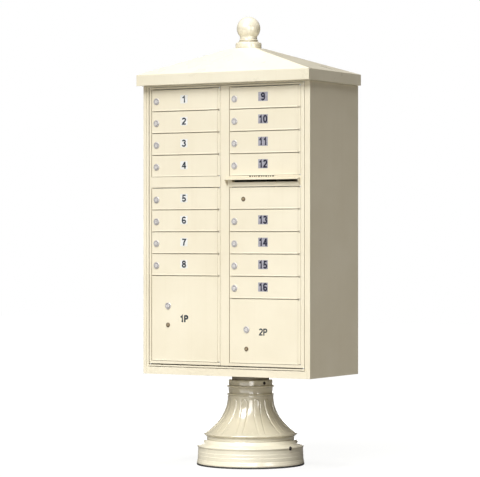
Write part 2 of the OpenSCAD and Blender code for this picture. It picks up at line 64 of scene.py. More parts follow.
class Shader:
    """A node material with a few short helpers for procedural detail in the row frame."""

    def __init__(self, name, roughness=0.5, metallic=0.0):
        self.material = bpy.data.materials.new(name)
        self.material.use_nodes = True
        self.nodes = self.material.node_tree.nodes
        self.links = self.material.node_tree.links
        self.bsdf = self.nodes["Principled BSDF"]
        self.bsdf.inputs["Roughness"].default_value = roughness
        self.bsdf.inputs["Metallic"].default_value = metallic
        self.place = self.nodes.new("ShaderNodeTexCoord").outputs["Object"]

    def put(self, kind, **settings):
        node = self.nodes.new(kind)
        for key, value in settings.items():
            setattr(node, key, value)
        return node

    def join(self, output, socket):
        self.links.new(output, socket)

    def stretched(self, x, y, z):
        node = self.put("ShaderNodeMapping")
        node.inputs["Scale"].default_value = (x, y, z)
        self.join(self.place, node.inputs["Vector"])
        return node.outputs["Vector"]

    def noise(self, scale, detail=3.0, place=None):
        node = self.put("ShaderNodeTexNoise")
        node.inputs["Scale"].default_value = scale
        node.inputs["Detail"].default_value = detail
        node.inputs["Roughness"].default_value = NOISE_ROUGHNESS
        self.join(place or self.place, node.inputs["Vector"])
        return node.outputs["Fac"]

    def cells(self, scale):
        node = self.put("ShaderNodeTexVoronoi")
        node.inputs["Scale"].default_value = scale
        self.join(self.place, node.inputs["Vector"])
        return node.outputs["Color"]

    def spread(self, value, low, high, to_low=0.0, to_high=1.0):
        """Maps the range low..high of a value to to_low..to_high, held at its ends."""
        node = self.put("ShaderNodeMapRange")
        ends = {"From Min": low, "From Max": high, "To Min": to_low, "To Max": to_high}
        for socket, end in ends.items():
            node.inputs[socket].default_value = end
        self.join(value, node.inputs["Value"])
        return node.outputs["Result"]

    def mix(self, amount, a, b):
        """Mixes two colours, each a socket or three numbers; amount is a socket or a number."""
        node = self.put("ShaderNodeMix", data_type="RGBA")
        sockets = {"amount": node.inputs[0], "a": node.inputs[6], "b": node.inputs[7]}
        for key, value in (("amount", amount), ("a", a), ("b", b)):
            if isinstance(value, (int, float)):
                sockets[key].default_value = value
            elif isinstance(value, tuple):
                sockets[key].default_value = (*value, 1.0)
            else:
                self.join(value, sockets[key])
        return node.outputs[2]

    def colour(self, output):
        self.join(output, self.bsdf.inputs["Base Color"])

    def rough(self, output):
        self.join(output, self.bsdf.inputs["Roughness"])

    def bump(self, height, distance, strength):
        node = self.put("ShaderNodeBump")
        node.inputs["Distance"].default_value = distance
        node.inputs["Strength"].default_value = strength
        self.join(height, node.inputs["Height"])
        self.join(node.outputs["Normal"], self.bsdf.inputs["Normal"])

    def crevice(self, reach):
        """How open the surface is, from 0 deep in a corner to 1 in the open."""
        node = self.put("ShaderNodeAmbientOcclusion")
        node.samples = CREVICE_SAMPLES
        node.inputs["Distance"].default_value = reach
        return node.outputs["AO"]

    def height(self):
        node = self.put("ShaderNodeSeparateXYZ")
        self.join(self.place, node.inputs["Vector"])
        return node.outputs["Z"]


# What the coat's colour is multiplied by, channel by channel, where it has changed
DULL_TINT = (0.95, 0.935, 0.90)
SPECK_TINT = (0.70, 0.66, 0.58)
STREAK_TINT = (0.80, 0.75, 0.66)
# The corner tint darkens the coat where shade falls in corners and gaps: painted shade
CORNER_SHADE_TINT = (0.36, 0.31, 0.23)
MUD_TINT = (0.62, 0.56, 0.46)
# How high above the ground mud is splashed, and how far into a corner the painted shade reaches
SPLASH_HEIGHT = 70 * MM
CORNER_SHADE_REACH = 7 * MM


def tinted(colour, tint):
    return tuple(channel * share for channel, share in zip(colour, tint))


def powder_coat(name, colour, roughness, orange_peel, corner_shade=0.55, coat=(0.0, 0.12), splash=0.22):
    """Powder coat: cloudy colour, a fine orange peel, rain streaks, and painted shade in the corners.

    The coat is a clear layer's weight and roughness; the argument before splash is how dark the painted
    shade gets in the corners, and splash is how strong the dirt gets near the ground.
    """
    s = Shader(name, roughness)
    light = tuple(min(1.0, c * 1.03) for c in colour)
    clouds = s.spread(s.noise(3.1, 5.0), 0.3, 0.7)
    base = s.mix(clouds, tinted(colour, DULL_TINT), light)
    specks = s.spread(s.noise(700.0, 2.0), 0.62, 0.78, 0.0, 0.10)
    base = s.mix(specks, base, tinted(colour, SPECK_TINT))
    streaks = s.spread(s.noise(1.0, 4.0, s.stretched(42.0, 42.0, 1.6)), 0.55, 0.85, 0.0, 0.16)
    base = s.mix(streaks, base, tinted(colour, STREAK_TINT))
    # Ambient occlusion darkens the coat in corners, gaps and recesses: painted shade, not dirt
    corners = s.spread(s.crevice(CORNER_SHADE_REACH), 0.25, 0.92, corner_shade, 0.0)
    base = s.mix(corners, base, tinted(colour, CORNER_SHADE_TINT))
    mud = s.spread(s.height(), 0.0, SPLASH_HEIGHT, splash, 0.0)
    base = s.mix(mud, base, tinted(colour, MUD_TINT))
    s.colour(base)
    s.rough(s.spread(s.noise(9.0, 4.0), 0.3, 0.7, roughness - 0.05, roughness + 0.07))
    s.bsdf.inputs["Coat Weight"].default_value = coat[0]
    s.bsdf.inputs["Coat Roughness"].default_value = coat[1]
    s.bump(s.noise(orange_peel, 2.0), 0.12 * MM, 0.55)
    return s.material


def galvanised(name):
    """Zinc spangle: flat crystals of slightly different greys."""
    s = Shader(name, 0.42, 0.85)
    tone = s.spread(s.cells(95.0), 0.0, 1.0)
    base = s.mix(tone, (0.42, 0.43, 0.44), (0.62, 0.63, 0.63))
    base = s.mix(s.spread(s.noise(6.0, 4.0), 0.45, 0.75, 0.0, 0.35), base, (0.38, 0.38, 0.36))
    s.colour(base)
    s.rough(s.spread(s.noise(40.0), 0.3, 0.7, 0.36, 0.55))
    s.bump(s.noise(160.0), 0.0001, 0.4)
    return s.material


def brushed(name, colour, axis_scale, roughness=0.3):
    """Steel with grinding lines along one direction."""
    s = Shader(name, roughness, 1.0)
    lines = s.noise(1.0, 4.0, s.stretched(*axis_scale))
    dark = tuple(c * 0.78 for c in colour)
    s.colour(s.mix(s.spread(lines, 0.35, 0.65), dark, colour))
    s.rough(s.spread(lines, 0.3, 0.7, roughness - 0.06, roughness + 0.12))
    s.bump(lines, 0.00004, 0.5)
    return s.material


def plated(name, colour, tarnish, roughness, patches, metallic=1.0):
    """Plated or cast metal with tarnish in patches and in its corners."""
    s = Shader(name, roughness, metallic)
    spots = s.spread(s.noise(patches, 5.0), 0.45, 0.75, 0.0, 0.8)
    base = s.mix(spots, colour, tarnish)
    corners = s.spread(s.crevice(2 * MM), 0.3, 0.95, 0.7, 0.0)
    base = s.mix(corners, base, tuple(c * 0.3 for c in tarnish))
    s.colour(base)
    s.rough(s.spread(s.noise(patches * 1.7, 4.0), 0.3, 0.7, roughness * 0.7, roughness * 1.6))
    s.bump(s.noise(1400.0), 0.00002, 0.4)
    return s.material


def rubber(name):
    """Matt black rubber with a little dust in its grain."""
    s = Shader(name, 0.75)
    s.colour(s.mix(s.spread(s.noise(60.0, 4.0), 0.3, 0.8), (0.012, 0.012, 0.012), (0.045, 0.043, 0.04)))
    s.bump(s.noise(900.0), 0.0001, 0.6)
    return s.material


def film(name, colour, edge, roughness=0.35):
    """A vinyl decal that has weathered a little unevenly."""
    s = Shader(name, roughness)
    s.colour(s.mix(s.spread(s.noise(120.0, 4.0), 0.3, 0.7), edge, colour))
    s.rough(s.spread(s.noise(200.0), 0.3, 0.7, roughness - 0.08, roughness + 0.12))
    s.bump(s.noise(350.0), 0.00003, 0.5)
    return s.material


CREAM = (0.86, 0.80, 0.635)
LOOKS = {
    "cream_powder": powder_coat("cream_powder_coat", CREAM, 0.42, 620.0),
    "cream_cast": powder_coat("cream_cast_coat", (0.88, 0.83, 0.67), 0.30, 380.0, 0.7, (0.45, 0.09), 0.08),
    # The bell's cream is a darker copy of the drum's cast cream, though both have one finish: painted shade
    # on the bell
    "cream_bell": powder_coat("cream_bell_shaded_coat", (0.70, 0.65, 0.50), 0.26, 380.0, 0.7, (0.85, 0.05)),
    "galvanised": galvanised("galvanised_sheet"),
    "stainless": brushed("stainless_rod", (0.66, 0.66, 0.67), (900.0, 900.0, 14.0)),
    "lock_chrome": plated("lock_chrome", (0.82, 0.80, 0.79), (0.62, 0.60, 0.60), 0.34, 300.0, 0.35),
    "lock_bezel": plated("lock_bezel", (0.56, 0.54, 0.54), (0.34, 0.33, 0.33), 0.36, 260.0, 0.45),
    "lock_brass": plated("lock_brass", (0.46, 0.37, 0.24), (0.26, 0.20, 0.12), 0.40, 420.0, 0.5),
    "brass_bezel": plated("brass_bezel", (0.20, 0.145, 0.085), (0.10, 0.07, 0.04), 0.42, 420.0, 0.5),
    "gasket_rubber": rubber("gasket_rubber"),
    "blue_film": film("number_film_blue", (0.43, 0.42, 0.50), (0.30, 0.29, 0.33)),
    "clear_film": film("number_film_clear", (0.84, 0.86, 0.87), (0.84, 0.82, 0.76)),
    "ink_blue": film("number_ink_blue", (0.004, 0.005, 0.022), (0.012, 0.013, 0.04), 0.4),
    "ink_grey": film("number_ink_grey", (0.012, 0.024, 0.036), (0.028, 0.042, 0.056), 0.4),
    "dash_ink": film("dash_ink", (0.09, 0.08, 0.055), (0.16, 0.14, 0.10), 0.5),
    # A dark coat for the post, whose own coat is the cream powder: the dark stands for the shade under the
    # cabinet, painted shade
    "post_painted_shade": powder_coat("post_painted_shade", (0.30, 0.27, 0.21), 0.5, 620.0),
    "dark_screw": plated("dark_screw", (0.06, 0.055, 0.05), (0.02, 0.017, 0.014), 0.5, 600.0),
}


# ---------------------------------------------------------------- mesh tools

def new_object(name, mesh, body, look):
    piece = bpy.data.objects.new(name, mesh)
    bpy.context.scene.collection.objects.link(piece)
    mesh.materials.clear()
    mesh.materials.append(LOOKS[look])
    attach(piece, body)
    return piece


def mesh_from(name, verts, faces, sharp_angle=30.0):
    mesh = bpy.data.meshes.new(name)
    mesh.from_pydata([tuple(v) for v in verts], [], faces)
    mesh.validate()
    smooth(mesh, sharp_angle)
    return mesh


def smooth(mesh, sharp_angle=30.0):
    """Shades a mesh smooth, except where its faces meet at more than the angle."""
    for face in mesh.polygons:
        face.use_smooth = True
    mesh.set_sharp_from_angle(angle=math.radians(sharp_angle))


def bevel(piece, width, segments=2, angle=35.0):
    """Rounds the sharp edges of a mesh and evens its shading."""
    weld = piece.modifiers.new("weld", "WELD")
    weld.merge_threshold = WELD_GAP
    flat = piece.modifiers.new("flat", "DECIMATE")
    flat.decimate_type = "DISSOLVE"
    flat.angle_limit = math.radians(0.3)
    edge = piece.modifiers.new("edge", "BEVEL")
    edge.width = width
    edge.segments = segments
    edge.limit_method = "ANGLE"
    edge.angle_limit = math.radians(angle)
    edge.use_clamp_overlap = True
    even = piece.modifiers.new("even", "WEIGHTED_NORMAL")
    even.keep_sharp = True


def lathe(name, outline, segments, centre=(0.0, 0.0), along="Z", closed=True):
    """Turns an outline of (radius, height) points about an upright axis, or about one along Y."""
    verts = []
    for i in range(segments):
        a = 2 * math.pi * i / segments
        for r, h in outline:
            u, v = r * math.cos(a), r * math.sin(a)
            if along == "Z":
                verts.append((centre[0] + u, centre[1] + v, h))
            else:
                verts.append((centre[0] + u, h, centre[1] + v))
    count = len(outline)
    faces = []
    for i in range(segments):
        j = (i + 1) % segments
        for k in range(count if closed else count - 1):
            m = (k + 1) % count
            faces.append((i * count + k, j * count + k, j * count + m, i * count + m))
    mesh = mesh_from(name, verts, faces)
    tidy(mesh)
    return mesh


def face_outwards(bm, mesh, sharp_angle=30.0):
    """Turns all the faces of a bmesh outwards, and writes it to the mesh."""
    bmesh.ops.recalc_face_normals(bm, faces=bm.faces)
    bm.to_mesh(mesh)
    bm.free()
    smooth(mesh, sharp_angle)


def tidy(mesh):
    """Merges doubled points, such as those on the axis, and turns all the faces outwards."""
    bm = bmesh.new()
    bm.from_mesh(mesh)
    bmesh.ops.remove_doubles(bm, verts=bm.verts, dist=1e-6)
    bmesh.ops.dissolve_degenerate(bm, edges=bm.edges, dist=1e-7)
    face_outwards(bm, mesh)


def arc(centre, radius, start, end, steps):
    """Points of an arc in an outline, with the angles in degrees."""
    return [(centre[0] + radius * math.cos(math.radians(start + (end - start) * i / steps)),
             centre[1] + radius * math.sin(math.radians(start + (end - start) * i / steps)))
            for i in range(steps + 1)]


def in_metres(outline, up=0.0):
    """An outline in millimetres as one in metres, raised by a height in metres."""
    return [(r * MM, h * MM + up) for r, h in outline]


def block_mesh(name, low, high, width):
    """A box with chamfered edges, in metres."""
    bm = bmesh.new()
    bmesh.ops.create_cube(bm, size=1.0)
    size = Vector(high) - Vector(low)
    middle = (Vector(high) + Vector(low)) / 2
    bmesh.ops.scale(bm, vec=size, verts=bm.verts)
    bmesh.ops.translate(bm, vec=middle, verts=bm.verts)
    bmesh.ops.bevel(bm, geom=bm.edges, offset=width, segments=1, profile=0.5, affect="EDGES")
    mesh = bpy.data.meshes.new(name)
    bm.to_mesh(mesh)
    bm.free()
    smooth(mesh, 25.0)
    return mesh


def solids_of(node):
    """The separate solids of a CAD node as bmeshes, the largest first."""
    bm = bmesh.new()
    bm.from_mesh(NODES[node].data)
    bmesh.ops.remove_doubles(bm, verts=bm.verts, dist=WELD_GAP)
    left = set(bm.faces)
    groups = []
    while left:
        start = left.pop()
        group, queue = {start}, [start]
        while queue:
            for edge in queue.pop().edges:
                for face in edge.link_faces:
                    if face in left:
                        left.discard(face)
                        group.add(face)
                        queue.append(face)
        groups.append(group)
    parts = []
    for group in groups:
        part = bmesh.new()
        known = {}
        for face in group:
            corners = []
            for vert in face.verts:
                if vert not in known:
                    known[vert] = part.verts.new(vert.co)
                corners.append(known[vert])
            part.faces.new(corners)
        bmesh.ops.recalc_face_normals(part, faces=part.faces)
        parts.append(part)
    bm.free()
    parts.sort(key=lambda p: -p.calc_volume())
    return parts


def mesh_of(name, bm):
    mesh = bpy.data.meshes.new(name)
    bm.to_mesh(mesh)
    bm.free()
    smooth(mesh)
    return mesh


# ---------------------------------------------------------------- CAD nodes that stay

SLOT_OF = {row["node"]: row["material_slot"] for row in frame["record"]["subparts"]}
# How wide each node's edges are rounded, in millimetres
BEVELS = {
    "cabinet_wrapper": 0.6, "cabinet_floor": 0.8, "front_frame": 0.6, "cap_roof": 1.4,
    "master_door_left": 0.5, "master_door_right": 0.5, "outgoing_slot_hood": 0.5,
    "compartment_shelves": 0.3, "pedestal_post": 0.8, "latch_handle": 0.5, "fasteners": 0.5,
}


def finish_cad_nodes():
    """Gives every CAD node its look, and the nodes that stay visible their rounded edges."""
    for name, node in NODES.items():
        node.data.materials.clear()
        # The post gets the dark coat that stands for the shade under the cabinet: painted shade
        look = "post_painted_shade" if name == "pedestal_post" else SLOT_OF[name]
        node.data.materials.append(LOOKS[look])
    for name, width in BEVELS.items():
        bevel(NODES[name], width * MM)


# ---------------------------------------------------------------- doors, locks and numbers

# Each kind of lock: the radii of its bezel and of the bezel's bore in millimetres, and its look
LOCKS = {"lock_chrome": (13.0, 7.05, "lock_bezel"), "lock_brass": (8.5, 5.05, "brass_bezel")}
BARREL_DEPTH = 7.0
# The nut behind the panel: how far it is behind the doors' faces, its thickness and its sides
NUT_BEHIND, NUT_THICK, NUT_SIDES = 3.4, 2.6, 6


def lock_ring(name, x, z, body, look):
    """The fixed bezel of a lock: a dark flange, a sloped ring and a fine groove round the plug."""
    outer, bore, bezel = LOCKS[look]
    front = DOOR_FACE / MM
    back = front + BARREL_DEPTH
    outline = [
        (outer + 0.6, front - 0.15), (outer + 0.6, front - 0.9), (outer - 0.1, front - 1.3),
        (outer - 0.3, front - 2.3), (outer - 0.9, front - 2.9), (outer - 1.5, front - 3.0),
        (bore + 1.4, front - 2.5), (bore + 0.9, front - 1.6),
        (bore, front - 1.4), (bore, back), (outer - 1.6, back), (outer - 1.6, front - 0.15),
    ]
    mesh = lathe(name, in_metres(outline), segments=48, centre=(x, z), along="Y")
    return new_object(name, mesh, body, bezel)


def door_pieces(door, body, locks):
    """Replaces a door node with its leaf, and with the fixed bodies and nuts of its locks."""
    parts = solids_of(door)
    leaf = new_object(door + "_leaf", mesh_of(door + "_leaf", parts[0]), body, "cream_powder")
    bevel(leaf, 0.7 * MM, 3)
    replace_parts(leaf, door)
    for index, part in enumerate(parts[1:]):
        name = f"{door}_lock_body_{index + 1}"
        xs = [v.co.x for v in part.verts]
        zs = [v.co.z for v in part.verts]
        part.free()
        x, z = (min(xs) + max(xs)) / 2, (min(zs) + max(zs)) / 2
        nearest = min(locks, key=lambda lock: abs(centre_of(lock)[1] - z))
        look = SLOT_OF[nearest]
        lock_ring(name, x, z, body, look)
        nut = lock_nut(name + "_nut", x, z, LOCKS[look][0])
        new_object(name + "_nut", nut, body, LOCKS[look][2])


def lock_nut(name, x, z, size):
    """A thin hexagon nut behind the door panel, round the lock's barrel."""
    bm = bmesh.new()
    near = DOOR_FACE / MM + NUT_BEHIND
    far = near + NUT_THICK
    outer, inner = size + 0.5, size - 1.5
    rings = [(outer, near), (outer, far), (inner, far), (inner, near)]
    turns = [a * math.pi / 3 for a in range(NUT_SIDES)]
    loops = []
    for radius, y in rings:
        loops.append([bm.verts.new((x + radius * MM * math.cos(turn), y * MM,
                                    z + radius * MM * math.sin(turn))) for turn in turns])
    for k in range(len(rings)):
        for i in range(NUT_SIDES):
            j, m = (i + 1) % NUT_SIDES, (k + 1) % len(rings)
            bm.faces.new((loops[k][i], loops[k][j], loops[m][j], loops[m][i]))
    bmesh.ops.recalc_face_normals(bm, faces=bm.faces)
    bmesh.ops.bevel(bm, geom=bm.edges, offset=0.3 * MM, segments=1, affect="EDGES")
    return mesh_of(name, bm)


def centre_of(lock):
    """A lock's axis in X and Z: the round plug is as wide as the node, and is its lowest part."""
    low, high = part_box(lock)
    half = (high.x - low.x) / 2
    return (low.x + half, low.z + half)


def bend(x, y, rx, ry, start, end, steps=14):
    """Points of an elliptical stretch of a stroke, with the angles in degrees."""
    turn = [math.radians(start + (end - start) * i / steps) for i in range(steps + 1)]
    return [(x + rx * math.cos(t), y + ry * math.sin(t)) for t in turn]


# The middle lines of each character's strokes, in a cell one unit high, and the cell's width and step
GLYPH_W = 0.60
GLYPH_STEP = 0.665
GLYPHS = {
    "0": [bend(0.30, 0.50, 0.21, 0.42, 90, 450, 32)],
    "1": [[(0.10, 0.70), (0.25, 0.78), (0.36, 0.93), (0.37, 0.0)]],
    "2": [bend(0.30, 0.69, 0.21, 0.23, 165, -25) + [(0.36, 0.43), (0.17, 0.22), (0.10, 0.09), (0.56, 0.09)]],
    "3": [bend(0.28, 0.73, 0.19, 0.19, 165, -90), bend(0.28, 0.30, 0.22, 0.22, 90, -165)],
    "4": [[(0.43, 0.0), (0.43, 0.98)], [(0.40, 0.90), (0.08, 0.32), (0.60, 0.32)]],
    "5": [[(0.53, 0.91), (0.19, 0.91), (0.13, 0.47)] + bend(0.29, 0.31, 0.21, 0.23, 110, -160)],
    "6": [bend(0.31, 0.66, 0.21, 0.26, 25, 170) + [(0.09, 0.50), (0.10, 0.32)],
          bend(0.31, 0.29, 0.20, 0.21, 90, 450, 28)],
    "7": [[(0.06, 0.91), (0.54, 0.91), (0.43, 0.72), (0.32, 0.45), (0.25, 0.0)]],
    "8": [bend(0.30, 0.73, 0.18, 0.19, 90, 450, 28), bend(0.30, 0.29, 0.21, 0.21, 90, 450, 28)],
    "9": [bend(0.29, 0.34, 0.21, 0.26, 205, 350) + [(0.51, 0.50), (0.50, 0.68)],
          bend(0.29, 0.71, 0.20, 0.21, 90, 450, 28)],
    "P": [[(0.10, 0.0), (0.10, 0.98)], [(0.10, 0.91), (0.32, 0.91)] + bend(0.34, 0.70, 0.20, 0.21, 90, -90)
          + [(0.32, 0.49), (0.10, 0.49)]],
}


# At a sharp turn a stroke's half width is divided by this at the least
MITRE_LIMIT = 0.6


def stroke(bm, points, half, y):
    """Lays a flat ribbon along a line in X and Z, between two places along Y."""
    closed = (Vector(points[0]) - Vector(points[-1])).length < half * 0.1
    if closed:
        points = points[:-1]
    count = len(points)
    rings = []
    for i, point in enumerate(points):
        here = Vector(point)
        before = Vector(points[i - 1]) if i or closed else None
        after = Vector(points[(i + 1) % count]) if i < count - 1 or closed else None
        pairs = [(a, b) for a, b in ((before, here), (here, after)) if a is not None and b is not None]
        ways = [(b - a).normalized() for a, b in pairs]
        way = sum(ways, Vector((0.0, 0.0))).normalized()
        reach = half / max(MITRE_LIMIT, way.dot(ways[0]))
        side = Vector((-way.y, way.x)) * reach
        corners = (here + side, here - side)
        rings.append([bm.verts.new((c.x, depth, c.y)) for depth in y for c in corners])
    for i in range(count if closed else count - 1):
        a, b = rings[i], rings[(i + 1) % count]
        for k, m in ((0, 1), (1, 3), (3, 2), (2, 0)):
            bm.faces.new((a[k], a[m], b[m], b[k]))
    if not closed:
        for end in (rings[0], rings[-1]):
            bm.faces.new((end[0], end[1], end[3], end[2]))


TENANTS = 16
LEFT_TENANTS = 8
# Where a number is: from the door's left edge, above a tenant door's middle, below a parcel lock's axis
NUMBER_INSET = 153 * MM
NUMBER_LIFT = 2.5 * MM
PARCEL_LABEL_DROP = {1: 50.6 * MM, 2: 8.3 * MM}
DIGIT_H = 28 * MM
WIDE_DIGIT_H = 31 * MM
INK_HALF = 2.8 * MM
# How far in front of the doors' faces ink, films and dashes begin and end, and then the step between
# strokes, so that crossing ones never share a plane, or the width of the chamfer; all in metres
INK_FRONT, INK_BACK, INK_LAYER = 0.00040, 0.00002, 0.00001
FILM_FRONT, FILM_BACK, FILM_EDGE = 0.00028, 0.00003, 0.00008
DASH_FRONT, DASH_BACK, DASH_EDGE = 0.00018, 0.00002, 0.00006
# The tenant numbers of each side: film, its width and height, ink, digits' height, squeeze and weight
LEFT_PRINT = ("clear_film", 34 * MM, 34 * MM, "ink_grey", DIGIT_H, 1.2, 1.1)
RIGHT_PRINT = ("blue_film", 44 * MM, 36 * MM, "ink_blue", WIDE_DIGIT_H, 0.98, 1.25)
PARCEL_SQUEEZE = 1.05
PARCEL_WEIGHT = {1: 1.25, 2: 0.95}


def number(name, text, x, z, height, body, look, squeeze, weight):
    """A printed number in plain strokes, raised by the thickness of its ink film."""
    bm = bmesh.new()
    width = (GLYPH_STEP * (len(text) - 1) + GLYPH_W) * height * squeeze
    layer = 0
    for place, character in enumerate(text):
        left = x - width / 2 + place * GLYPH_STEP * height * squeeze
        for line in GLYPHS[character]:
            points = [(left + u * height * squeeze, z + (v - 0.5) * height) for u, v in line]
            front = DOOR_FACE - INK_FRONT - layer * INK_LAYER
            stroke(bm, points, INK_HALF * weight, (front, DOOR_FACE - INK_BACK))
            layer += 1
    bmesh.ops.recalc_face_normals(bm, faces=bm.faces)
    return new_object(name, mesh_of(name, bm), body, look)


def decal(name, x, z, width, height, body, look):
    """A film on a door, centred on a point of its face."""
    low = (x - width / 2, DOOR_FACE - FILM_FRONT, z - height / 2)
    high = (x + width / 2, DOOR_FACE - FILM_BACK, z + height / 2)
    return new_object(name, block_mesh(name, low, high, FILM_EDGE), body, look)


def dress_doors():
    """Splits up the doors and prints their numbers."""
    for n in range(1, TENANTS + 1):
        door = f"tenant_door_{n:02d}"
        door_pieces(door, door, [f"tenant_lock_{n:02d}"])
        low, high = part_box(door)
        x, z = low.x + NUMBER_INSET, (low.z + high.z) / 2 + NUMBER_LIFT
        printed = RIGHT_PRINT if n > LEFT_TENANTS else LEFT_PRINT
        film_look, width, height, ink, digit, squeeze, weight = printed
        decal(f"number_film_{n:02d}", x, z, width, height, door, film_look)
        number(f"number_{n:02d}", str(n), x, z, digit, door, ink, squeeze, weight)
    door_pieces("outgoing_mail_door", "outgoing_door", ["arrow_lock"])
    for p in (1, 2):
        door = f"parcel_door_{p}"
        lock = f"parcel_lock_{p}"
        door_pieces(door, door, [lock, f"control_lock_{p}"])
        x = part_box(door)[0].x + NUMBER_INSET
        z = centre_of(lock)[1] - PARCEL_LABEL_DROP[p]
        number(f"number_{p}P", f"{p}P", x, z, DIGIT_H, door, "ink_grey", PARCEL_SQUEEZE, PARCEL_WEIGHT[p])


# The small print's place over the hood, from its left end and its top, and its dashes in millimetres
DASH_INSET = 103 * MM
DASH_RISE = (2.2 * MM, 7.2 * MM)
DASH_LENGTHS = (9, 5, 7, 4, 10, 6, 5, 8, 4, 7, 9)
DASH_GAP = 4


def dashes():
    """A row of plain dashes on the band over the hood, where a line of small print would be."""
    low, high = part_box("outgoing_slot_hood")
    x = low.x + DASH_INSET
    for index, length in enumerate(DASH_LENGTHS):
        name = f"hood_dash_{index + 1:02d}"
        a = (x, DOOR_FACE - DASH_FRONT, high.z + DASH_RISE[0])
        b = (x + length * MM, DOOR_FACE - DASH_BACK, high.z + DASH_RISE[1])
        new_object(name, block_mesh(name, a, b, DASH_EDGE), "right_master", "dash_ink")
        x += (length + DASH_GAP) * MM


# The drip lip: its gaps at the door's two ends, its lower and upper edge above the door's foot, and
# how far it reaches in front of the doors' faces and behind them
HEM_ENDS = (0.5 * MM, 12.2 * MM)
HEM_HEIGHTS = (0.15 * MM, 5.2 * MM)
HEM_OUT, HEM_IN = 1.1 * MM, 0.6 * MM


def hem(name, door, body):
    """The drip lip along a door's lower edge, which leans out a little towards the bottom."""
    low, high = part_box(door)
    x = (low.x + HEM_ENDS[0], high.x - HEM_ENDS[1])
    z = (low.z + HEM_HEIGHTS[0], low.z + HEM_HEIGHTS[1])
    out, inside = DOOR_FACE - HEM_OUT, DOOR_FACE + HEM_IN
    section = [(inside, z[0]), (out + 0.2 * MM, z[0]), (out, z[0] + 0.3 * MM), (out, z[0] + 0.7 * MM),
               (DOOR_FACE - 0.02 * MM, z[1]), (inside, z[1])]
    verts = [(end, y, up) for end in x for y, up in section]
    count = len(section)
    faces = [(k, (k + 1) % count, (k + 1) % count + count, k + count) for k in range(count)]
    faces += [tuple(range(count)), tuple(range(2 * count - 1, count - 1, -1))]
    mesh = mesh_from(name, verts, faces)
    tidy(mesh)
    new_object(name, mesh, body, "cream_powder")


def hems():
    for n in range(1, TENANTS + 1):
        hem(f"tenant_hem_{n:02d}", f"tenant_door_{n:02d}", f"tenant_door_{n:02d}")
    hem("outgoing_hem", "outgoing_mail_door", "outgoing_door")
    for p in (1, 2):
        hem(f"parcel_hem_{p}", f"parcel_door_{p}", f"parcel_door_{p}")


# ---------------------------------------------------------------- finial and pedestal cover

def finial():
    """The ball finial on its stepped ring, and its threaded stud."""
    low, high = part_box("finial")
    centre = ((low.x + high.x) / 2, (low.y + high.y) / 2)
    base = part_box("cap_roof")[1].z / MM
    ring, ring_h, step, groove, collar, neck, ball, ball_z = 52.6, 24.0, 42.0, 37.0, 39.0, 34.7, 47.7, 82.2
    outline = [(0.0, 0.0), (ring - 1.2, 0.0)]
    outline += arc((ring - 1.5, 1.5), 1.5, -90, 0, 4)
    outline += arc((ring - 5.0, ring_h - 5.0), 5.0, 0, 90, 8)
    outline += [(step + 1.0, ring_h + 0.4)]
    outline += arc((step - 2.1, ring_h + 2.6), 2.1, -80, 80, 7)
    outline += [(groove, ring_h + 5.4), (groove, ring_h + 6.8)]
    outline += arc((collar - 1.6, ring_h + 9.3), 1.6, -90, 90, 7)
    outline += arc((neck + 2.0, ring_h + 13.5), 2.0, 250, 180, 5)
    outline += [(neck, ring_h + 20.0), (neck, ring_h + 24.0)]
    start = math.degrees(math.asin((ring_h + 26.0 - ball_z) / ball))
    outline += arc((0.0, ball_z), ball, start, 90, 40)
    outline[-1] = (0.0, ball_z + ball)
    mesh = lathe("finial_ball", in_metres(outline, base * MM), segments=96, centre=centre, closed=False)
    piece = new_object("finial_ball", mesh, "cabinet", "cream_cast")
    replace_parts(piece, "finial")
    stud_outline = [(0, -20), (4.4, -20), (5, -19.2), (5, 0.5), (0, 0.5)]
    stud = lathe("finial_stud", in_metres(stud_outline, base * MM), segments=24, centre=centre)
    new_object("finial_stud", stud, "cabinet", "stainless")


# The bell, in millimetres: the heights of its curve, its radii there, its ribs and their grooves
BELL_LOW, BELL_HIGH = 129.0, 275.0
RIM_R, NECK_R = 190.0, 93.4
RIBS = 12
RIB_W, RIB_TOP, RIB_RISE, GROOVE_D = 25.0, 270.0, 2.0, 1.7
# How far the surface is set back from the curve before the ribs rise from it
BELL_UNDER = 0.8
BELL_RINGS, BELL_SEGMENTS = 64, 720
BELL_SHARP = 50.0


def bell_radius(z):
    """The radius of the bell's plain curve at a height, in millimetres."""
    t = max(0.0, min(1.0, (BELL_HIGH - z) / (BELL_HIGH - BELL_LOW)))
    return NECK_R + (RIM_R - NECK_R) * t ** 2.2


def ease(edge_a, edge_b, x):
    """A smooth step from 0 at edge_a to 1 at edge_b."""
    t = max(0.0, min(1.0, (x - edge_a) / (edge_b - edge_a)))
    return t * t * (3 - 2 * t)


def relief(angle, z):
    """How far the bell's surface stands off its plain curve, in millimetres, at an angle in degrees.

    Twelve ribs of even width run down the bell. Each has a rounded top end and a fine groove round it.
    """
    step = 360.0 / RIBS
    from_rib = (angle - step / 2) % step
    from_rib = min(from_rib, step - from_rib)
    across = math.radians(from_rib) * bell_radius(z)
    cap = RIB_TOP - RIB_W / 2
    past_edge = math.hypot(across, max(0.0, z - cap)) - RIB_W / 2
    rise = RIB_RISE * ease(0.6, -3.0, past_edge)
    fade = 0.35 + 0.65 * ease(RIB_TOP, cap, z)
    groove = GROOVE_D * fade * max(0.0, 1.0 - abs(past_edge - 1.6) / 3.0)
    return (rise - groove) * ease(132.5, 137.0, z)


